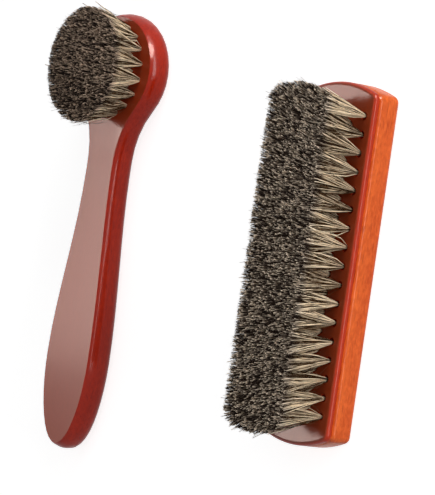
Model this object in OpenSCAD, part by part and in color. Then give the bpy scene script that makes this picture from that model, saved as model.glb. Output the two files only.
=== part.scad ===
// Shoe shine set: a rectangular horsehair shine brush and a round dauber on a paddle handle.
// Both lie on their flat backs at z = 0 with the hair pointing up.
// The origin is the middle of the shine brush's back, and both brushes run along Y.

/* [Shine brush block] */
// Length of the block, over its bowed ends
block_l = 160; // [130:1:200]
// Width of the block
block_w = 48; // [44:1:70]
// Thickness of the thick board that the hand holds
back_board_t = 11; // [8:0.5:18]
// Thickness of the thin board that the tufts come through
tuft_board_t = 3.5; // [3:0.1:8]
// How far each end bows out at its middle
end_bow = 4.8; // [1:0.1:6]
// Radius of the four upright corners
corner_r = 3.2; // [3:0.1:6]
// Rounding round the back
back_edge_r = 2.6; // [1:0.1:3]
// Rounding round the tuft face
face_edge_r = 1.8; // [0.6:0.1:2]
// Chamfer on each board where the two meet, which leaves a V line
joint_chamfer = 1.2; // [0.3:0.1:1.5]

/* [Shine brush tufts] */
// Distance from each long side of the block to its outer row of tufts
side_margin = 6; // [5:0.1:8]
// Distance from each end of the block to the first tuft
end_margin = 14.4; // [12:0.1:20]
// Distance between tufts in a row, which is rounded to fill the row
tuft_pitch = 8.2; // [7:0.1:12]
// Diameter of the drilled tuft holes
tuft_hole_d = 3.7; // [3.5:0.1:5.4]
// Height of the hair above the tuft face
hair_h = 23.8; // [15:0.1:35]
// How far the hair spreads past the outer tufts, across the block
spread_w = 2.4; // [0:0.1:6]
// How far the hair spreads past the end tufts, along the block
spread_l = 11; // [0:0.5:14]
// Diameter of the drawn wires
wire_d = 0.8; // [0.5:0.1:1]

/* [Dauber wood] */
// Length of the dauber
dauber_l = 208; // [180:1:240]
// Width of the head
head_w = 60.2; // [54:0.2:70]
// Length of the head, as an oval
head_l = 53.6; // [50:0.2:64]
// Width of the neck
neck_w = 23.4; // [16:0.2:32]
// Distance from the middle of the head to the narrowest place
neck_at = 47.8; // [36:0.2:60]
// Width of the grip
grip_w = 37; // [28:0.2:46]
// Length of the rounded end of the grip, from its widest place
grip_end_l = 43; // [30:0.5:60]
// Thickness of the head and neck
head_t = 12.6; // [10.4:0.1:16]
// Thickness of the grip
grip_t = 14; // [12.6:0.1:18]
// Rounding round the back of the dauber
dauber_back_r = 5; // [2:0.5:5.5]
// Rounding round the face of the dauber
dauber_face_r = 1.4; // [0.6:0.1:2]

/* [Dauber tufts] */
// Distance from the rim of the head, at its front, to the outer ring of tufts
rim_w = 5.4; // [5.2:0.1:9]
// Diameter of the drilled blind holes
blind_hole_d = 3.8; // [3.6:0.1:4.6]
// Depth of the blind holes below the face
blind_hole_l = 8; // [7:0.1:9]
// Height of the hair at the middle of the dauber
dauber_hair_h = 22.2; // [15:0.1:32]
// How much lower the hair is at the rim
dome_h = 2.4; // [0:0.1:5]
// How far the hair spreads past the outer ring
dauber_spread = 6; // [0:0.5:9]

/* [Layout] */
// Distance of the dauber's head from the middle of the block, across
dauber_x = -176; // [-240:0.1:-90]
// Distance of the dauber's head from the middle of the block, along
dauber_y = 77; // [-100:0.5:100]
// Turn of the dauber about the upright
dauber_turn = 0.9; // [-20:0.1:20]

/* [Hidden] */
$fn = 48;

// Gap between pieces that lie against each other inside the wood
fit_gap = 0.1;
// Overlap that keeps a cut from ending on a face
cut_over = 1;

// Colours
back_colour = [0.83, 0.36, 0.17];
board_colour = [0.55, 0.16, 0.08];
dauber_colour = [0.62, 0.16, 0.1];
hair_colour = [0.5, 0.4, 0.28];
steel_colour = [0.7, 0.7, 0.72];

// Block
block_t = back_board_t + tuft_board_t;
back_r = min(back_edge_r, corner_r - 0.4);
seam = min(joint_chamfer, tuft_board_t - face_edge_r - 0.1);
end_r = (pow(block_w / 2, 2) + pow(end_bow, 2)) / (2 * end_bow);
end_y = block_l / 2 - end_r;
corner_x = block_w / 2 - corner_r;
corner_a = asin(corner_x / (end_r - corner_r));
corner_y = end_y + (end_r - corner_r) * cos(corner_a);
end_steps = 8;
corner_steps = 5;
round_steps = 4;

// Tuft rows
row_count = 5;
row_pitch = (block_w - 2 * side_margin) / (row_count - 1);
row_l = block_l - 2 * end_margin;
row_tufts = 2 * round(row_l / 2 / tuft_pitch) + 1;
channel_w = 3.6;
strip_w = channel_w - 6 * fit_gap;
strip_t = 1.5;
channel_l = row_l + tuft_hole_d;
channel_h = strip_t + wire_d + 3 * fit_gap;
strip_z = back_board_t - fit_gap - strip_t;
wire_z = back_board_t - channel_h + fit_gap + wire_d / 2;

// A strand has three sides, a straight foot in the wood, and a bend on its way to a pointed tip
strand_sides = 3;
strands_across = 2;
foot_r = 0.6;
bend_r = 0.9;
bend_at = 0.6;
bend_lean = 0.55;
foot_spread = 0.66;
tip_fill = 0.5;
tip_jitter = 0.5;
height_jitter = 0.7;

// Dauber, in its own frame: the origin is the middle of the head and the grip runs towards -Y
shoulder_at = 17;
neck_end_at = neck_at + 14;
grip_end_y = head_l / 2 - dauber_l;
grip_at = -grip_end_y - grip_end_l;
face_r = min(dauber_face_r, head_t - dauber_back_r - 1);
ring_r = head_l / 2 - rim_w;
slice_t = 1.2;
slice_r = ring_r + blind_hole_d / 2 + 1;
plug_d = blind_hole_d - 4 * fit_gap;
ring_counts = [1, 6, 12, 18];
outer_ring = len(ring_counts) - 1;
anchor_l = blind_hole_d - 6 * fit_gap;
anchor_t = 0.4;
anchor_h = 1.6;
hole_bottom_z = head_t - blind_hole_l;
plug_z = hole_bottom_z + anchor_h + 2 * fit_gap;
outer_strands = 4;
inner_strands = 3;
dauber_foot = 0.86;
dauber_tip_fill = 0.36;

// Curves

// Value between a at u = 0 and b at u = 1, level at both
function ease(a, b, u) = a + (b - a) * u * u * (3 - 2 * u);

// Curve between two values with a set slope at the start and none at the end
function settle(a, b, slope, u) =
    a * (1 - 3 * u * u + 2 * u * u * u) + b * (3 * u * u - 2 * u * u * u) + slope * (u - 2 * u * u + u * u * u);

// Left half of the block's outline, drawn in by d, from the far end to the near end
function block_half(d) = [
    for (i = [0 : end_steps]) let (a = corner_a * i / end_steps)
        [-(end_r - d) * sin(a), end_y + (end_r - d) * cos(a)],
    for (i = [1 : corner_steps]) let (a = corner_a + (90 - corner_a) * i / corner_steps)
        [-corner_x - (corner_r - d) * sin(a), corner_y + (corner_r - d) * cos(a)],
    for (i = [corner_steps : -1 : 1]) let (a = corner_a + (90 - corner_a) * i / corner_steps)
        [-corner_x - (corner_r - d) * sin(a), -corner_y - (corner_r - d) * cos(a)],
    for (i = [end_steps : -1 : 0]) let (a = corner_a * i / end_steps)
        [-(end_r - d) * sin(a), -end_y - (end_r - d) * cos(a)]
];

// Left half of the dauber's outline, drawn in by d: oval head, shoulder, neck and grip, and rounded end
head_steps = 12;
shoulder_steps = 5;
grip_steps = 8;
tail_steps = 10;
function dauber_half(d) =
    let (w = head_w / 2 - d, l = head_l / 2 - d, grip = grip_w / 2 - d, tail = grip_end_l - d,
         run = neck_at - shoulder_at,
         shoulder_w = w * sqrt(1 - pow(shoulder_at / l, 2)),
         shoulder_slope = -w / l * shoulder_at / sqrt(l * l - shoulder_at * shoulder_at),
         shoulder_a = 90 + asin(shoulder_at / l))
    [
        for (i = [0 : head_steps]) let (a = shoulder_a * i / head_steps) [-w * sin(a), l * cos(a)],
        for (i = [1 : shoulder_steps]) let (u = i / shoulder_steps)
            [-settle(shoulder_w, neck_w / 2 - d, shoulder_slope * run, u), -shoulder_at - run * u],
        for (i = [1 : grip_steps]) let (u = i / grip_steps)
            [-ease(neck_w / 2 - d, grip, u), -neck_at - (grip_at - neck_at) * u],
        for (i = [1 : tail_steps]) let (a = 90 * i / tail_steps) [-grip * cos(a), -grip_at - tail * sin(a)]
    ];

// Thickness of the dauber at y
function dauber_t(y) =
    y > -neck_end_at ? head_t
    : y < -grip_at ? grip_t
    : ease(head_t, grip_t, (-y - neck_end_at) / (grip_at - neck_end_at));

// A closed ring from its left half: down the left side, and back up the right
function whole(half) = concat(half, [for (i = [len(half) - 2 : -1 : 1]) [-half[i][0], half[i][1]]]);

// Triangles of a stack of rings of n points, flat strips closing the first and the last
function stack_faces(n, rings) = concat(
    [for (k = [0 : rings - 2], i = [0 : n - 1], side = [0, 1])
        let (a = k * n + i, b = k * n + (i + 1) % n)
            side == 0 ? [a, a + n, b + n] : [a, b + n, b]],
    strip_faces(n, 0, false),
    strip_faces(n, (rings - 1) * n, true)
);
function strip_faces(n, base, up) = [
    for (k = [0 : n / 2 - 1], side = [0, 1])
        let (l0 = base + k, l1 = base + k + 1, r0 = base + (n - k) % n, r1 = base + (n - k - 1) % n,
             tri = side == 0 ? [l0, l1, r1] : [l0, r1, r0])
            if (side == 0 ? l1 != r1 : l0 != r0) up ? [tri[2], tri[1], tri[0]] : tri
];

// Edges: how far in and how high, for a rounding at the bottom and one at the top
function bottom_round(r, steps) = [
    for (i = [0 : steps]) let (a = 90 * i / steps) [r * (1 - sin(a)), r * (1 - cos(a))]
];
function top_round(r, steps) = [
    for (i = [0 : steps]) let (a = 90 * i / steps) [r * (1 - cos(a)), r * (sin(a) - 1)]
];

// Boards

module board(levels) {
    rings = [for (l = levels) [for (p = whole(block_half(l[0]))) [p[0], p[1], l[1]]]];
    n = len(rings[0]);
    polyhedron(points = [for (r = rings, p = r) p], faces = stack_faces(n, len(rings)), convexity = 4);
}

function row_x(row) = (row - (row_count + 1) / 2) * row_pitch;
function tufts_in(row) = row_tufts - (row % 2 == 0 ? 1 : 0);
function tuft_y(row, i) = (i - (tufts_in(row) - 1) / 2) * row_l / (row_tufts - 1);

module back_board() {
    color(back_colour) difference() {
        intersection() {
            board(concat(
                bottom_round(back_r, round_steps),
                [[0, back_board_t - seam], [seam, back_board_t]]));
            translate([-block_w, -block_l, -cut_over]) cube([2 * block_w, 2 * block_l, block_t + 2 * cut_over]);
        }
        for (row = [1 : row_count])
            translate([row_x(row) - channel_w / 2, -channel_l / 2, back_board_t - channel_h])
                cube([channel_w, channel_l, channel_h + cut_over]);
    }
}

module tuft_board() {
    color(board_colour) difference() {
        intersection() {
            board(concat(
                [[seam, back_board_t], [0, back_board_t + seam]],
                [for (l = top_round(face_edge_r, round_steps)) [l[0], block_t + l[1]]]));
            translate([-block_w, -block_l, -cut_over]) cube([2 * block_w, 2 * block_l, block_t + 2 * cut_over]);
        }
        for (row = [1 : row_count], i = [0 : tufts_in(row) - 1])
            translate([row_x(row), tuft_y(row, i), back_board_t - cut_over])
                cylinder(d = tuft_hole_d, h = tuft_board_t + 2 * cut_over);
    }
}

module draw_wires() {
    color(steel_colour) for (row = [1 : row_count])
        translate([row_x(row), -channel_l / 2 + fit_gap, wire_z]) rotate([-90, 0, 0])
            cylinder(d = wire_d, h = channel_l - 2 * fit_gap);
}

// Hair

// Points of one strand: its foot, where it leaves the wood, its bend, and its tip
function strand(foot, face_z, tip, spin) =
    let (bend = [foot[0] + (tip[0] - foot[0]) * bend_lean, foot[1] + (tip[1] - foot[1]) * bend_lean,
                 face_z + (tip[2] - face_z) * bend_at])
        concat(
            strand_ring(foot, foot_r, spin),
            strand_ring([foot[0], foot[1], face_z], foot_r, spin),
            strand_ring(bend, bend_r, spin),
            [tip]);
function strand_ring(c, r, spin) = [
    for (i = [0 : strand_sides - 1]) let (a = spin + 360 * i / strand_sides)
        [c[0] + r * cos(a), c[1] + r * sin(a), c[2]]
];
strand_rings = 3;
strand_size = strand_sides * strand_rings + 1;
function strand_faces(base) = concat(
    [[base, base + 1, base + 2]],
    [for (k = [0 : strand_rings - 2], i = [0 : strand_sides - 1], side = [0, 1])
        let (a = base + k * strand_sides + i, b = base + k * strand_sides + (i + 1) % strand_sides)
            side == 0 ? [a, a + strand_sides, b + strand_sides] : [a, b + strand_sides, b]],
    [for (i = [0 : strand_sides - 1])
        let (a = base + (strand_rings - 1) * strand_sides + i,
             b = base + (strand_rings - 1) * strand_sides + (i + 1) % strand_sides)
            [a, base + strand_size - 1, b]]
);

module hair(strands) {
    polyhedron(
        points = [for (s = strands, p = s) p],
        faces = [for (i = [0 : len(strands) - 1], f = strand_faces(i * strand_size)) f],
        convexity = 10);
}

// The tips of a row fill a share of the hair field, which follows the bow of the ends
field_w = (row_count - 1) * row_pitch + 2 * spread_w;
function field_l(row) =
    row_l + 2 * spread_l - 2 * end_bow * pow(2 * row_x(row) / block_w, 2);

module tuft_row(row) {
    count = tufts_in(row);
    cell_w = field_w / row_count;
    cell_l = field_l(row) / count;
    scatter = rands(-1, 1, 3 * count * strands_across * strands_across, row);
    strands = [
        for (i = [0 : count - 1], a = [0 : strands_across - 1], b = [0 : strands_across - 1])
            let (n = 3 * ((i * strands_across + a) * strands_across + b),
                 side = [2 * a - 1, 2 * b - 1],
                 foot = [row_x(row) + side[0] * foot_spread, tuft_y(row, i) + side[1] * foot_spread,
                         strip_z + strip_t / 2],
                 middle = [(row - (row_count + 1) / 2) * cell_w, (i - (count - 1) / 2) * cell_l],
                 tip = [middle[0] + side[0] * cell_w / 2 * tip_fill + scatter[n] * tip_jitter,
                        middle[1] + side[1] * cell_l / 2 * tip_fill + scatter[n + 1] * tip_jitter,
                        block_t + hair_h - height_jitter * (1 + scatter[n + 2]) / 2])
                strand(foot, block_t, tip, 90 * (a + b) + 40 * scatter[n])
    ];
    color(hair_colour) union() {
        translate([row_x(row) - strip_w / 2, -channel_l / 2 + fit_gap, strip_z])
            cube([strip_w, channel_l - 2 * fit_gap, strip_t]);
        hair(strands);
    }
}
module tuft_row_1() { tuft_row(1); }
module tuft_row_2() { tuft_row(2); }
module tuft_row_3() { tuft_row(3); }
module tuft_row_4() { tuft_row(4); }
module tuft_row_5() { tuft_row(5); }

// Dauber

module place_dauber() {
    translate([dauber_x, dauber_y, 0]) rotate([0, 0, -dauber_turn]) children();
}

// Places of the tufts, ring by ring
function ring_place(ring, i) =
    let (a = 360 * (i + 0.5 * (ring % 2)) / ring_counts[ring], r = ring_r * ring / outer_ring)
        [r * cos(a), r * sin(a), a];
dauber_places = [
    for (ring = [0 : outer_ring], i = [0 : ring_counts[ring] - 1]) concat(ring_place(ring, i), [ring])
];

module dauber_handle() {
    low = bottom_round(dauber_back_r, round_steps + 1);
    high = top_round(face_r, round_steps - 1);
    rings = concat(
        [for (l = low) [for (p = whole(dauber_half(l[0]))) [p[0], p[1], l[1]]]],
        [for (l = high) [for (p = whole(dauber_half(l[0]))) [p[0], p[1], dauber_t(p[1]) + l[1]]]]);
    n = len(rings[0]);
    place_dauber() color(dauber_colour) difference() {
        intersection() {
            polyhedron(points = [for (r = rings, p = r) p], faces = stack_faces(n, len(rings)), convexity = 6);
            translate([-head_w, -dauber_l, -cut_over]) cube([2 * head_w, 2 * dauber_l, grip_t + 2 * cut_over]);
        }
        translate([0, 0, head_t - slice_t]) cylinder(r = slice_r, h = slice_t + cut_over);
        for (p = dauber_places)
            translate([p[0], p[1], hole_bottom_z]) cylinder(d = blind_hole_d, h = blind_hole_l);
    }
}

// A strand's tip goes out by the spread in step with its tuft's distance from the middle
module dauber_tufts() {
    tip_scale = (ring_r + dauber_spread) / (ring_r + blind_hole_d / 2);
    fan = ring_r / outer_ring * tip_scale * dauber_tip_fill;
    scatter = rands(-1, 1, 3 * outer_strands * len(dauber_places), 7);
    strands = [
        for (t = [0 : len(dauber_places) - 1])
            let (p = dauber_places[t], count = p[3] == outer_ring ? outer_strands : inner_strands)
                for (s = [0 : count - 1])
                    let (n = 3 * (t * outer_strands + s),
                         a = p[2] + 360 * (s + 0.5) / count,
                         tip = [p[0] * tip_scale + cos(a) * fan + scatter[n] * tip_jitter,
                                p[1] * tip_scale + sin(a) * fan + scatter[n + 1] * tip_jitter],
                         out = min(1, norm(tip) / (ring_r + dauber_spread)),
                         drop = dome_h * out * out + height_jitter * (1 + scatter[n + 2]) / 2)
                        strand([p[0] + cos(a) * dauber_foot, p[1] + sin(a) * dauber_foot, head_t - slice_t / 2],
                               head_t, [tip[0], tip[1], head_t + dauber_hair_h - drop], a)
    ];
    place_dauber() color(hair_colour) union() {
        translate([0, 0, head_t - slice_t]) cylinder(r = slice_r - fit_gap, h = slice_t - fit_gap);
        for (p = dauber_places)
            translate([p[0], p[1], plug_z]) cylinder(d = plug_d, h = head_t - slice_t / 2 - plug_z);
        hair(strands);
    }
}

module dauber_anchors() {
    place_dauber() color(steel_colour) for (p = dauber_places)
        translate([p[0], p[1], hole_bottom_z + fit_gap + anchor_h / 2]) rotate([0, 0, p[2] + 45])
            cube([anchor_l, anchor_t, anchor_h], center = true);
}

back_board();
tuft_board();
tuft_row_1();
tuft_row_2();
tuft_row_3();
tuft_row_4();
tuft_row_5();
draw_wires();
dauber_handle();
dauber_tufts();
dauber_anchors();
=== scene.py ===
# A shoe shine set on a pale table: a rectangular horsehair shine brush and a round dauber on a paddle
# handle, both lying on their flat backs with the hair up. Lengths named _mm are millimetres, others metres.

import math

import bpy
import numpy as np
from mathutils import Matrix, Vector


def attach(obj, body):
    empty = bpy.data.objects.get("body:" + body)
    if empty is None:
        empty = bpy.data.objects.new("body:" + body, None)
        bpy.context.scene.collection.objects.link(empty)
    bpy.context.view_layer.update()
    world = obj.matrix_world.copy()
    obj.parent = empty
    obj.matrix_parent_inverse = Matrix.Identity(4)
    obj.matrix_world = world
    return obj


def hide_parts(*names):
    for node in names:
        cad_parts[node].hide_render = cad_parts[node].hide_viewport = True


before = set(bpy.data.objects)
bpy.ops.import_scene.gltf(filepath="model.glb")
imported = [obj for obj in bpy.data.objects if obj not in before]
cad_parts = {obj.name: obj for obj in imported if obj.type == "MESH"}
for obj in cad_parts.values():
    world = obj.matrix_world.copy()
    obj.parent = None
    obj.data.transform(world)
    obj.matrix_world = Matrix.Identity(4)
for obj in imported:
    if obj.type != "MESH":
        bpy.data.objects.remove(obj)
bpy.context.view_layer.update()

MM = 0.001

# ---- sizes that the solids have, repeated here because the hair grows from them ----

# The block: its face, the trimmed top of its hair, its width and the bow of its ends
face_mm = 14.5
hair_top_mm = 38.3
block_w_mm = 48.0
end_bow_mm = 4.8

# Its rows of tufts, and the trimmed field that their tips fill
row_count = 5
row_pitch_mm = 9.0
row_l_mm = 131.2
row_tufts = 17
field_w_mm = 40.8
field_spread_l_mm = 11.0
corner_cut_mm = 4.2

# The dauber's place, its face, its domed hair and its rings of tufts
head_at_mm = (-176.0, 77.0)
dauber_turn = math.radians(-0.9)
head_face_mm = 12.6
head_hair_mm = 22.2
dome_mm = 2.4
ring_r_mm = 21.4
ring_counts = (1, 6, 12, 18)
head_field_r_mm = 27.0

# The sunk field in its face, and the blind holes below that
head_recess_r_mm = 24.3
blind_hole_r_mm = 1.9
hole_floor_mm = 4.6

# Its thickness, which grows from the neck's end to the grip, and the roundings of its edges
head_t_mm = 12.6
grip_t_mm = 14.0
neck_end_mm = 61.8
grip_at_mm = 138.2
dauber_back_r_mm = 5.0
dauber_face_r_mm = 1.4

# ---- camera: at the photograph's viewing angle, with both brushes upright in the picture ----

view_tilt = math.radians(53.0)
view_roll = math.radians(8.29)
view_distance = 1.6
focal_px = 3559.57
picture_h_px = 495.0
sensor_mm = 36.0
aim = Vector((-0.0651314, 0.0003255, 0.02))
towards = Vector((math.sin(view_tilt), 0, math.cos(view_tilt)))
across = Vector((math.cos(view_tilt), 0, -math.sin(view_tilt)))
along = Vector((0, 1, 0))
right = across * math.cos(view_roll) + along * math.sin(view_roll)
up = along * math.cos(view_roll) - across * math.sin(view_roll)
bpy.ops.object.camera_add(location=aim + towards * view_distance)
camera = bpy.context.object
camera.rotation_euler = Matrix((right, up, towards)).transposed().to_euler()
camera.data.sensor_width = sensor_mm
camera.data.lens = focal_px * sensor_mm / picture_h_px
camera.data.clip_end = 50
bpy.context.scene.camera = camera

# ---- lamps ----


def add_softbox(name, direction, distance, size, power):
    """A rectangular soft lamp that faces the brushes."""
    place = aim + Vector(direction).normalized() * distance
    bpy.ops.object.light_add(type="AREA", location=place)
    lamp = bpy.context.object
    lamp.name = name
    lamp.rotation_euler = (place - aim).to_track_quat("Z", "Y").to_euler()
    lamp.data.shape = "RECTANGLE"
    lamp.data.size, lamp.data.size_y = size
    lamp.data.energy = power
    return lamp


add_softbox("key_softbox", (0.92, 0.27, 0.17), distance=1.5, size=(1.4, 0.3), power=14.0)
sheens = (
    add_softbox("block_face_sheen", (-0.765, -0.02, 0.65), distance=1.43, size=(0.64, 0.3), power=6.6),
    add_softbox("handle_face_sheen", (-0.852, 0.1, 0.515), distance=1.28, size=(0.5, 0.3), power=2.6),
    add_softbox("head_side_sheen", (0.46, 0.77, 0.38), distance=1.3, size=(0.7, 0.9), power=60.0))
add_softbox("end_softbox", (0.3, 0.92, 0.22), distance=1.2, size=(0.7, 0.45), power=5.0)

# The sheens are oval and a little warm, and show only as reflections in the lacquer
for sheen in sheens:
    sheen.data.shape = "ELLIPSE"
    sheen.data.color = (1.0, 0.83, 0.75)
    sheen.visible_diffuse = False

# ---- steps that the shader nodes below share ----


def feed(tree, socket, value):
    """Gives a socket its value, which may be another socket or plain numbers."""
    if isinstance(value, bpy.types.NodeSocket):
        tree.links.new(value, socket)
    else:
        socket.default_value = value


def maths(tree, operation, *values):
    """One step of arithmetic with sockets or plain numbers."""
    node = tree.nodes.new("ShaderNodeMath")
    node.operation = operation
    for socket, value in zip(node.inputs, values):
        feed(tree, socket, value)
    return node.outputs[0]


def remap(tree, value, low, high, to_low=0.0, to_high=1.0):
    """A value stretched from low..high to another range, held at its ends."""
    node = tree.nodes.new("ShaderNodeMapRange")
    for label, number in (("From Min", low), ("From Max", high), ("To Min", to_low), ("To Max", to_high)):
        node.inputs[label].default_value = number
    tree.links.new(value, node.inputs["Value"])
    return node.outputs[0]


def mix_colour(tree, factor, first, second):
    """Two colours mixed by a factor. Each may be a socket or plain numbers."""
    node = tree.nodes.new("ShaderNodeMix")
    node.data_type = "RGBA"
    for socket, value in ((node.inputs[0], factor), (node.inputs[6], first), (node.inputs[7], second)):
        feed(tree, socket, value)
    return node.outputs[2]


def stretched_noise(tree, coords, stretch, scale, detail, distortion=0.0):
    """Noise in a frame scaled by stretch, so that long grain runs along the small one."""
    mapping = tree.nodes.new("ShaderNodeMapping")
    mapping.inputs["Scale"].default_value = stretch
    noise = tree.nodes.new("ShaderNodeTexNoise")
    noise.inputs["Scale"].default_value = scale
    noise.inputs["Detail"].default_value = detail
    noise.inputs["Distortion"].default_value = distortion
    tree.links.new(coords, mapping.inputs["Vector"])
    tree.links.new(mapping.outputs[0], noise.inputs["Vector"])
    return noise.outputs["Fac"]


def background_rays(tree):
    """A value that is 1 where the background is looked at, directly or in a reflection."""
    path = tree.nodes.new("ShaderNodeLightPath")
    seen = maths(tree, "MAXIMUM", path.outputs["Is Camera Ray"], path.outputs["Is Glossy Ray"])
    return maths(tree, "MAXIMUM", seen, path.outputs["Is Transmission Ray"])


# ---- room and table: white to look at, with a plain light in the room ----

room_light = 0.26
room_white = 1.0
table_grey = 0.6
table_glow = 0.82
table_w = 12
table_gap = 0.0003

world = bpy.data.worlds.new("pale_room")
bpy.context.scene.world = world
world.use_nodes = True
tree = world.node_tree
tree.nodes.clear()
background = tree.nodes.new("ShaderNodeBackground")
background.inputs["Color"].default_value = (1, 1, 1, 1)
feed(tree, background.inputs["Strength"], remap(tree, background_rays(tree), 0, 1, room_light, room_white))
feed(tree, tree.nodes.new("ShaderNodeOutputWorld").inputs["Surface"], background.outputs[0])

bpy.ops.mesh.primitive_plane_add(size=table_w, location=(0, 0, -table_gap))
table = bpy.context.object
table.name = "table_top"
paint = bpy.data.materials.new("table_white")
paint.use_nodes = True
tree = paint.node_tree
tree.nodes.clear()
matt = tree.nodes.new("ShaderNodeBsdfDiffuse")
matt.inputs["Color"].default_value = (table_grey, table_grey, table_grey, 1)
glow = tree.nodes.new("ShaderNodeEmission")
feed(tree, glow.inputs["Strength"], maths(tree, "MULTIPLY", background_rays(tree), table_glow))
both = tree.nodes.new("ShaderNodeAddShader")
feed(tree, both.inputs[0], matt.outputs[0])
feed(tree, both.inputs[1], glow.outputs[0])
feed(tree, tree.nodes.new("ShaderNodeOutputMaterial").inputs["Surface"], both.outputs[0])
table.data.materials.append(paint)

# ---- finishes ----


def new_group(name, inputs, outputs):
    """A shader node group with named sockets. Returns it with its input and output nodes."""
    group = bpy.data.node_groups.new(name, "ShaderNodeTree")
    for label, kind, value in inputs:
        socket = group.interface.new_socket(name=label, in_out="INPUT", socket_type=kind)
        socket.default_value = value
    for label, kind in outputs:
        group.interface.new_socket(name=label, in_out="OUTPUT", socket_type=kind)
    return group, group.nodes.new("NodeGroupInput"), group.nodes.new("NodeGroupOutput")


def new_finish(name):
    """A new material, with its node tree and its shader."""
    material = bpy.data.materials.new(name)
    material.use_nodes = True
    return material, material.node_tree, material.node_tree.nodes["Principled BSDF"]


def place_group(tree, group, values):
    """A node group in a material, with the material's own values for its inputs."""
    node = tree.nodes.new("ShaderNodeGroup")
    node.node_tree = group
    for label, value in values.items():
        node.inputs[label].default_value = value
    return node


# Stained hardwood: broad figure, mottling and short open pores along Y, and painted shade that makes the upward
# face darker and browner
grain_group, grain_in, grain_out = new_group(
    "grain_and_face_shade",
    (("Light Stain", "NodeSocketColor", (0.7, 0.12, 0.03, 1)),
     ("Dark Stain", "NodeSocketColor", (0.45, 0.04, 0.015, 1)),
     ("Pore Stain", "NodeSocketColor", (0.2, 0.02, 0.01, 1)),
     ("Painted Face Shade", "NodeSocketColor", (0.2, 0.05, 0.02, 1)),
     ("Painted Shade Share", "NodeSocketFloat", 0.0),
     ("Figure", "NodeSocketFloat", 0.6),
     ("Pores", "NodeSocketFloat", 0.5)),
    (("Colour", "NodeSocketColor"), ("Roughness", "NodeSocketFloat"), ("Height", "NodeSocketFloat")))
figure_share = 0.45
on_wood = grain_group.nodes.new("ShaderNodeTexCoord")
broad = stretched_noise(grain_group, on_wood.outputs["Object"], (1, 0.16, 1), 130, detail=4, distortion=0.8)
fine = stretched_noise(grain_group, on_wood.outputs["Object"], (1, 0.5, 1), 700, detail=3, distortion=0.3)
short = stretched_noise(grain_group, on_wood.outputs["Object"], (1, 0.09, 1), 1500, detail=2)
mottle = maths(grain_group, "MULTIPLY", remap(grain_group, fine, 0.36, 0.66), 1 - figure_share)
figure = maths(grain_group, "MULTIPLY_ADD", remap(grain_group, broad, 0.35, 0.68), figure_share, mottle)
figured = maths(grain_group, "MULTIPLY", figure, grain_in.outputs["Figure"])
pored = maths(grain_group, "MULTIPLY", remap(grain_group, short, 0.56, 0.7), grain_in.outputs["Pores"])
# Painted shade: faces that point up take a darker, browner colour, as wood in shade looks, in the share given
facing = grain_group.nodes.new("ShaderNodeSeparateXYZ")
feed(grain_group, facing.inputs[0], on_wood.outputs["Normal"])
shaded_face = maths(grain_group, "MULTIPLY",
              remap(grain_group, facing.outputs["Z"], 0.75, 0.98), grain_in.outputs["Painted Shade Share"])
stained = mix_colour(grain_group, figured, grain_in.outputs["Light Stain"], grain_in.outputs["Dark Stain"])
stained = mix_colour(grain_group, pored, stained, grain_in.outputs["Pore Stain"])
stained = mix_colour(grain_group, shaded_face, stained, grain_in.outputs["Painted Face Shade"])
feed(grain_group, grain_out.inputs["Colour"], stained)
feed(grain_group, grain_out.inputs["Roughness"], remap(grain_group, figure, 0, 1, 0.3, 0.42))
feed(grain_group, grain_out.inputs["Height"], remap(grain_group, pored, 0, 1, 1, 0))


def lacquered_wood(name, stains):
    """Stained wood under clear gloss lacquer, with painted shade on its upward face where the stains give it a
    share.
    """
    material, tree, shader = new_finish(name)
    grain = place_group(tree, grain_group, stains)
    pits = tree.nodes.new("ShaderNodeBump")
    pits.inputs["Strength"].default_value = 0.25
    pits.inputs["Distance"].default_value = 0.0001
    tree.links.new(grain.outputs["Colour"], shader.inputs["Base Color"])
    tree.links.new(grain.outputs["Roughness"], shader.inputs["Roughness"])
    tree.links.new(grain.outputs["Height"], pits.inputs["Height"])
    tree.links.new(pits.outputs[0], shader.inputs["Normal"])
    shader.inputs["Specular IOR Level"].default_value = 0.03
    shader.inputs["Coat Weight"].default_value = 0.32
    shader.inputs["Coat Roughness"].default_value = 0.15
    return material


back_lacquer = lacquered_wood("orange_lacquer", {
    "Light Stain": (0.86, 0.16, 0.026, 1), "Dark Stain": (0.54, 0.06, 0.007, 1),
    "Pore Stain": (0.38, 0.038, 0.005, 1), "Figure": 0.85, "Pores": 0.5})
# The red board and the dauber are stained under lacquer, and their upward faces carry painted shade, darker and
# browner than their sides
board_wood_and_face_shade = lacquered_wood("red_finish_face_shaded", {
    "Light Stain": (0.56, 0.04, 0.008, 1), "Dark Stain": (0.36, 0.02, 0.005, 1),
    "Pore Stain": (0.22, 0.012, 0.003, 1), "Painted Face Shade": (0.24, 0.042, 0.012, 1),
    "Painted Shade Share": 0.8, "Figure": 0.7, "Pores": 0.4})
dauber_wood_and_face_shade = lacquered_wood("deep_red_finish_face_shaded", {
    "Light Stain": (0.48, 0.022, 0.004, 1), "Dark Stain": (0.3, 0.012, 0.003, 1),
    "Pore Stain": (0.2, 0.008, 0.002, 1), "Painted Face Shade": (0.37, 0.05, 0.014, 1),
    "Painted Shade Share": 0.8, "Figure": 0.7, "Pores": 0.4})

# Horsehair is tan from its root, each hair in its own tone, and near its tip it is darker with painted shade.
# The strand map holds a number for each hair across, and the way from its root to its tip upwards.
hair_shades = {
    "Root Dark": (0.018, 0.009, 0.004, 1), "Root Middle": (0.125, 0.064, 0.027, 1),
    "Root Light": (1.0, 0.81, 0.56, 1),
    "Tip Dark": (0.01, 0.006, 0.005, 1), "Tip Middle": (0.034, 0.018, 0.011, 1),
    "Tip Light": (1.0, 0.82, 0.63, 1)}
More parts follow.
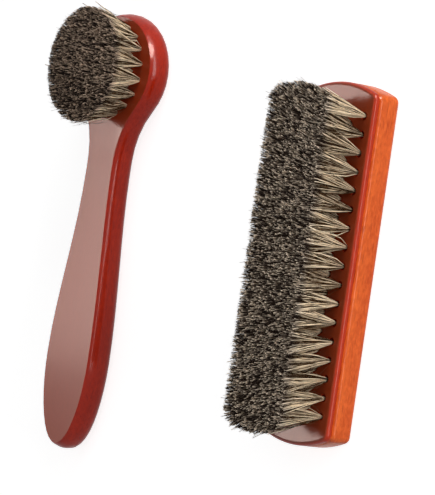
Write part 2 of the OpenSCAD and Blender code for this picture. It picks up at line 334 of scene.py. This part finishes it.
# The dauber's tips carry deeper painted shade, and its pale tips are dimmer
dauber_shades = {**hair_shades, "Tip Middle": (0.024, 0.013, 0.009, 1), "Tip Light": (0.76, 0.56, 0.41, 1)}
hair_group, hair_in, hair_out = new_group(
    "horsehair",
    [(label, "NodeSocketColor", shade) for label, shade in hair_shades.items()]
    + [("Turn", "NodeSocketFloat", 0.8)],
    (("Colour", "NodeSocketColor"),))
strand_map = hair_group.nodes.new("ShaderNodeUVMap")
strand_map.uv_map = "strand"
split = hair_group.nodes.new("ShaderNodeSeparateXYZ")
feed(hair_group, split.inputs[0], strand_map.outputs[0])
hair_number, hair_way = split.outputs["X"], split.outputs["Y"]
dark_to = 0.15
tip_shade_l = 0.17


def shade_of_hair(end, middle_from, light_from, light_to):
    """The colour of a hair at one of its ends, from its number: dark, then middling, then light."""
    middling = mix_colour(hair_group, remap(hair_group, hair_number, dark_to, middle_from),
                          hair_in.outputs[end + " Dark"], hair_in.outputs[end + " Middle"])
    return mix_colour(hair_group, remap(hair_group, hair_number, light_from, light_to),
                      middling, hair_in.outputs[end + " Light"])


root_colour = shade_of_hair("Root", 0.62, 0.65, 0.72)
shaded_tip_colour = shade_of_hair("Tip", 0.68, 0.7, 0.77)
# Painted shade: past the given share of its way, a hair goes over to its tip colours, darker than its root ones
past_tip_shade_start = maths(hair_group, "SUBTRACT", hair_way, hair_in.outputs["Turn"])
feed(hair_group, hair_out.inputs["Colour"],
     mix_colour(hair_group, remap(hair_group, past_tip_shade_start, 0, tip_shade_l), root_colour, shaded_tip_colour))


def horsehair(name, shades):
    """Horsehair in those shades, with the dull gloss of clean hair."""
    material, tree, shader = new_finish(name)
    colour = place_group(tree, hair_group, shades)
    tree.links.new(colour.outputs["Colour"], shader.inputs["Base Color"])
    shader.inputs["Roughness"].default_value = 0.5
    shader.inputs["Specular IOR Level"].default_value = 0.04
    return material


brush_horsehair = horsehair("brush_horsehair", hair_shades)
dauber_horsehair = horsehair("dauber_horsehair", dauber_shades)


def bright_wire(name, colour):
    """Drawn wire with fine lengthwise scratches."""
    material, tree, shader = new_finish(name)
    on_wire = tree.nodes.new("ShaderNodeTexCoord").outputs["Object"]
    scratches = stretched_noise(tree, on_wire, (1, 0.05, 1), 6000, detail=2)
    darker = tuple(0.7 * part for part in colour)
    feed(tree, shader.inputs["Base Color"], mix_colour(tree, scratches, (*colour, 1), (*darker, 1)))
    feed(tree, shader.inputs["Roughness"], remap(tree, scratches, 0.3, 0.7, 0.25, 0.45))
    shader.inputs["Metallic"].default_value = 1.0
    return material


wire_steel = bright_wire("drawn_wire", (0.62, 0.62, 0.64))
for wires in ("draw_wires", "dauber_anchors"):
    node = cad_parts[wires]
    node.data.materials.clear()
    node.data.materials.append(wire_steel)

# ---- wood ----


def activate(piece):
    """Makes one piece the only selected one."""
    bpy.ops.object.select_all(action="DESELECT")
    piece.select_set(True)
    bpy.context.view_layer.objects.active = piece


def wood_copy(node, name, material):
    """A merged copy of a wooden solid, which stands for it."""
    piece = bpy.data.objects.new(name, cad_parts[node].data.copy())
    bpy.context.scene.collection.objects.link(piece)
    piece.data.materials.clear()
    piece.data.materials.append(material)
    activate(piece)
    bpy.ops.mesh.customdata_custom_splitnormals_clear()
    bpy.ops.object.mode_set(mode="EDIT")
    bpy.ops.mesh.select_all(action="SELECT")
    bpy.ops.mesh.remove_doubles(threshold=0.00001)
    bpy.ops.object.mode_set(mode="OBJECT")
    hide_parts(node)
    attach(piece, "root")
    return piece


def polish(piece, edge_angle):
    """Smooth shading over the roundings, with the flats kept flat."""
    activate(piece)
    bpy.ops.object.shade_smooth_by_angle(angle=math.radians(edge_angle))
    flats = piece.modifiers.new("flats", "WEIGHTED_NORMAL")
    flats.keep_sharp = True
    bpy.ops.object.modifier_apply(modifier=flats.name)


polish(wood_copy("back_board", "back_board_wood", back_lacquer), edge_angle=50)
polish(wood_copy("tuft_board", "tuft_board_wood", board_wood_and_face_shade), edge_angle=35)

# ---- the dauber's wood ----

# The solid's upright side becomes a turned one, belled out a little between the back and the face
side_fullness = 0.85
side_belly_mm = 0.7
face_edge_in_mm = 1.4
side_cuts_mm = (6.3, 7.5, 8.7, 9.9)

# What lies this near to a level or an edge counts as on it
touch_mm = 0.01
recess_edge_mm = head_recess_r_mm + 0.2
above_floor_mm = hole_floor_mm - 0.1
side_facing = 0.1


def dauber_t(y_mm):
    """Thickness of the dauber at that distance from the middle of its head."""
    way = min(1, max(0, (-y_mm - neck_end_mm) / (grip_at_mm - neck_end_mm)))
    return head_t_mm + (grip_t_mm - head_t_mm) * way * way * (3 - 2 * way)


def round_inset(into, radius):
    """How far a quarter round draws the side in at a height within it."""
    return radius - math.sqrt(max(0, radius ** 2 - min(radius, max(0, into)) ** 2))


def solid_inset(z, t):
    """How far in the solid's side is at a height: upright between the roundings of its edges."""
    if z < t / 2:
        return round_inset(dauber_back_r_mm - z, dauber_back_r_mm)
    return round_inset(z - t + dauber_face_r_mm, dauber_face_r_mm)


def turned_inset(z, t):
    """How far in the turned side is at a height: a belly at half height and a crisp edge at the face."""
    half = t / 2
    if z > half:
        rise = side_fullness * (z - half) / half
        depth = (face_edge_in_mm + side_belly_mm) / (1 - math.sqrt(1 - side_fullness ** 2))
        return depth * (1 - math.sqrt(1 - rise ** 2)) - side_belly_mm
    belly = side_belly_mm * (z / half) ** 2 * (3 - 2 * z / half)
    return round_inset(dauber_back_r_mm - z, dauber_back_r_mm) - belly


dauber = wood_copy("dauber_handle", "dauber_wood", dauber_wood_and_face_shade)
head_middle = Vector((head_at_mm[0] * MM, head_at_mm[1] * MM, 0))
head_place = Matrix.Translation(head_middle) @ Matrix.Rotation(dauber_turn, 4, "Z")

# The sunk field and its holes, which the hair hides, are closed flush with the face
for polygon in dauber.data.polygons:
    polygon.select = False
for edge in dauber.data.edges:
    edge.select = False
for vertex in dauber.data.vertices:
    out = (vertex.co.xy - head_middle.xy).length
    vertex.select = (out < recess_edge_mm * MM
                     and above_floor_mm * MM < vertex.co.z < (head_face_mm - touch_mm) * MM)
bpy.ops.object.mode_set(mode="EDIT")
bpy.ops.mesh.select_mode(type="VERT")
bpy.ops.mesh.delete(type="VERT")
bpy.ops.mesh.select_all(action="DESELECT")
bpy.ops.mesh.select_non_manifold()
bpy.ops.mesh.edge_face_add()

for cut_mm in side_cuts_mm:
    bpy.ops.mesh.select_all(action="SELECT")
    bpy.ops.mesh.bisect(plane_co=(0, 0, cut_mm * MM), plane_no=(0, 0, 1))
bpy.ops.object.mode_set(mode="OBJECT")
dauber.data.update()
to_head = head_place.inverted()
moves = {}
for vertex in dauber.data.vertices:
    local = to_head @ vertex.co
    level, full = local.z / MM, dauber_t(local.y / MM)
    outward = vertex.normal.xy
    on_side = level > touch_mm and outward.length > side_facing
    in_field = local.xy.length <= recess_edge_mm * MM and level >= full - touch_mm
    if on_side and not in_field:
        moves[vertex.index] = outward.normalized() * (solid_inset(level, full) - turned_inset(level, full)) * MM
for index, move in moves.items():
    dauber.data.vertices[index].co.xy += move
dauber.data.update()
polish(dauber, edge_angle=35)

# ---- hair ----

# One hair is a thin three-sided rod with a blunt end, cut across so that it can bend
hair_r_mm = 0.105
hair_bends = (0.33, 0.68)
hair_taper = (0.55, 1.0, 1.0, 0.85)
hair_r_range = (0.7, 1.1)

# The tuft: its foot in the hole, its hairs, its wisps, and how unevenly it leans and is trimmed
root_r_mm = 0.4
root_depth_mm = 2.2
root_order = 0.6
hairs_in_tuft = 380
wisps_in_tuft = 150
wisp_pull = 0.45
wisp_tone = 0.25
tuft_lean_mm = 0.55
tuft_overlap = 0.66
tip_scatter_mm = 0.3
trim_mm = 0.6
golden_angle = math.pi * (3 - math.sqrt(5))

# Stray hairs, bowed and curly ones, and pale ones, which are thicker and lie outside their tuft
stray_share = 0.11
stray_mm = (1.5, 1.5, 0.3)
curly_share = 0.02
bow_share = 0.035
curly_bow = 4
tip_bow = 0.6
pale_from = 0.65
pale_step = 0.08
pale_thickness = 1.3
pale_out_mm = 0.24
first_bend = (0.25, 0.25, 0.34)
second_bend = (0.66, 0.66, 0.68)

bpy.ops.object.select_all(action="DESELECT")
bpy.ops.mesh.primitive_cylinder_add(vertices=3, radius=1, depth=1, location=(0, 0, 0.5))
hair = bpy.context.object
bpy.ops.object.transform_apply()
bpy.ops.object.mode_set(mode="EDIT")
for cut in hair_bends:
    bpy.ops.mesh.select_all(action="SELECT")
    bpy.ops.mesh.bisect(plane_co=(0, 0, cut), plane_no=(0, 0, 1))
bpy.ops.object.mode_set(mode="OBJECT")
hair_points = np.array([v.co for v in hair.data.vertices])
hair_faces = [tuple(p.vertices) for p in hair.data.polygons]
bpy.data.objects.remove(hair)
point_way = hair_points[:, 2]
point_out = np.hypot(hair_points[:, 0], hair_points[:, 1])
point_turn = np.arctan2(hair_points[:, 1], hair_points[:, 0])
point_fullness = point_out * np.interp(point_way, (0, *hair_bends, 1), hair_taper)


def grow_tuft(random, root, tip_middle, tip_half, top, limit):
    """Roots and tips of one tuft in mm, and the shade of each hair. The hairs fan out and gather in wisps."""
    count = hairs_in_tuft
    packed = np.arange(count) + random.uniform(0, 1, count)
    turn = packed * golden_angle
    out = np.sqrt(packed / count)
    disc = np.stack((np.cos(turn), np.sin(turn)), 1) * out[:, None]
    square = disc / np.maximum(np.abs(disc).max(1, keepdims=True), 1e-6) * out[:, None]
    spread = 0.5 * disc + 0.5 * square
    wisps = random.uniform(-1, 1, (wisps_in_tuft, 2))
    nearest = np.argmin(np.linalg.norm(spread[:, None] - wisps[None], axis=2), 1)
    gathered = spread + (wisps[nearest] - spread) * wisp_pull * random.uniform(0.5, 1, (count, 1))
    lean = random.normal(0, tuft_lean_mm, 2)
    fanned = (np.array(tip_middle) + lean + gathered * np.array(tip_half)
              + random.normal(0, tip_scatter_mm, (count, 2)))
    tips = np.empty((count, 3))
    tips[:, :2] = limit(fanned) + random.normal(0, tip_scatter_mm, (count, 2))
    tips[:, 2] = top(tips[:, :2]) - np.abs(random.normal(0, trim_mm, count))
    stray = random.uniform(0, 1, count) < stray_share
    tips[stray] += random.normal(0, 1, (stray.sum(), 3)) * stray_mm
    rooted = root_order * disc + (1 - root_order) * disc[random.permutation(count)]
    roots = np.empty((count, 3))
    roots[:, :2] = np.array(root[:2]) + rooted * root_r_mm
    roots[:, 2] = root[2] - root_depth_mm
    tones = random.uniform(0, 1, wisps_in_tuft)[nearest] * wisp_tone
    tones = tones + random.uniform(0, 1, count) * (1 - wisp_tone)
    return roots, tips, tones


def hair_piece(name, tufts, seed, material, replaced=None, place=Matrix.Identity(4)):
    """One piece of hair from its tufts, each a root, a middle, half sizes, a top and a limit for its tips."""
    random = np.random.RandomState(seed)
    grown = [grow_tuft(random, *tuft) for tuft in tufts]
    roots, tips, tones = (np.concatenate(part) for part in zip(*grown))
    tuft_middles = np.repeat(np.array([tuft[0][:2] for tuft in tufts]), hairs_in_tuft, 0)
    count = len(roots)
    reach = tips - roots
    bow = random.normal(0, bow_share, (count, 2)) * reach[:, 2:]
    curly = random.uniform(0, 1, count) < curly_share
    bow[curly] *= curly_bow
    pale = np.clip((tones - pale_from) / pale_step, 0, 1)[:, None]
    outwards = (roots[:, :2] - tuft_middles) * pale / root_r_mm * pale_out_mm
    first = roots + reach * first_bend
    second = roots + reach * second_bend
    first[:, :2] += bow + outwards
    second[:, :2] += bow * tip_bow + outwards
    way = point_way[None, :, None]
    points = (roots[:, None] * (1 - way) ** 3 + first[:, None] * 3 * way * (1 - way) ** 2
              + second[:, None] * 3 * way ** 2 * (1 - way) + tips[:, None] * way ** 3)
    turn = random.uniform(0, 2 * np.pi, (count, 1)) + point_turn[None]
    thickness = random.uniform(*hair_r_range, (count, 1)) + pale_thickness * pale
    out = hair_r_mm * thickness * point_fullness[None]
    points[..., 0] += out * np.cos(turn)
    points[..., 1] += out * np.sin(turn)
    size = len(point_way)
    faces = [tuple(i * size + v for v in face) for i in range(count) for face in hair_faces]
    mesh = bpy.data.meshes.new(name)
    mesh.from_pydata((points.reshape(-1, 3) * MM).tolist(), [], faces)
    mesh.transform(place)
    corner_points = np.empty(len(mesh.loops), np.int64)
    mesh.loops.foreach_get("vertex_index", corner_points)
    strand = mesh.uv_layers.new(name="strand")
    marks = np.stack((tones[corner_points // size], point_way[corner_points % size]), 1)
    strand.data.foreach_set("uv", marks.astype(np.float32).ravel())
    mesh.polygons.foreach_set("use_smooth", [True] * len(mesh.polygons))
    mesh.materials.append(material)
    mesh.update()
    piece = bpy.data.objects.new(name, mesh)
    bpy.context.scene.collection.objects.link(piece)
    if replaced:
        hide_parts(replaced)
    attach(piece, "root")


# ---- the shine brush's hair ----

trim_ragged_mm = 0.5
trim_waves = 37


def brush_field_l(x_mm):
    """Length of the shine brush's hair field, which follows the bow of the ends."""
    return row_l_mm + 2 * field_spread_l_mm - 2 * end_bow_mm * (2 * x_mm / block_w_mm) ** 2


def brush_top(tips):
    """The level trim of the shine brush."""
    return np.full(len(tips), hair_top_mm)


def brush_limit(tips):
    """Holds the tips inside the trimmed field, whose edge is a little ragged and whose corners are cut."""
    half_w = field_w_mm / 2
    x = np.clip(tips[:, 0], -half_w, half_w)
    half_l = brush_field_l(x) / 2 - corner_cut_mm * np.clip(np.abs(x) / half_w * 4 - 3, 0, 1) ** 2
    y = np.clip(tips[:, 1], -half_l, half_l)
    ragged_x = np.sign(x) * trim_ragged_mm * np.abs(np.sin(trim_waves * tips[:, 1]))
    ragged_y = np.sign(y) * trim_ragged_mm * np.abs(np.sin(trim_waves * tips[:, 0]))
    x = x - np.where(x != tips[:, 0], ragged_x, 0)
    y = y - np.where(y != tips[:, 1], ragged_y, 0)
    return np.stack((x, y), 1)


for row in range(1, row_count + 1):
    from_middle = row - (row_count + 1) / 2
    row_x = from_middle * row_pitch_mm
    count = row_tufts - (1 if row % 2 == 0 else 0)
    cell_w = field_w_mm / row_count
    cell_l = brush_field_l(row_x) / count
    cell_half = (cell_w * tuft_overlap, cell_l * tuft_overlap)
    tufts = []
    for i in range(count):
        step = i - (count - 1) / 2
        root = (row_x, step * row_l_mm / (row_tufts - 1), face_mm)
        tufts.append((root, (from_middle * cell_w, step * cell_l), cell_half, brush_top, brush_limit))
    hair_piece(f"brush_hair_{row}", tufts, row, brush_horsehair, f"tuft_row_{row}")

# ---- the dauber's hair ----


def head_top(tips):
    """The domed trim of the dauber."""
    out = np.minimum(1, np.linalg.norm(tips, axis=1) / head_field_r_mm)
    return head_face_mm + head_hair_mm - dome_mm * out ** 2


def head_limit(tips):
    """Holds the tips inside the dauber's round field."""
    out = np.linalg.norm(tips, axis=1, keepdims=True)
    return tips * np.minimum(1, head_field_r_mm / np.maximum(out, 1e-6))


tip_scale = head_field_r_mm / (ring_r_mm + blind_hole_r_mm)
ring_step = ring_r_mm / (len(ring_counts) - 1)
half = ring_step * tip_scale * tuft_overlap
rings = []
for ring, count in enumerate(ring_counts):
    tufts = []
    for i in range(count):
        turn = 2 * math.pi * (i + 0.5 * (ring % 2)) / count
        x, y = ring_step * ring * math.cos(turn), ring_step * ring * math.sin(turn)
        tufts.append(((x, y, head_face_mm), (x * tip_scale, y * tip_scale), (half, half), head_top, head_limit))
    rings.append(tufts)
*inner_rings, outer_ring = rings
hair_piece("dauber_hair_outer", outer_ring, 21, dauber_horsehair, "dauber_tufts", head_place)
hair_piece("dauber_hair_inner", sum(inner_rings, []), 22, dauber_horsehair, place=head_place)

# ---- end ----

bpy.context.scene.view_settings.view_transform = "Standard"
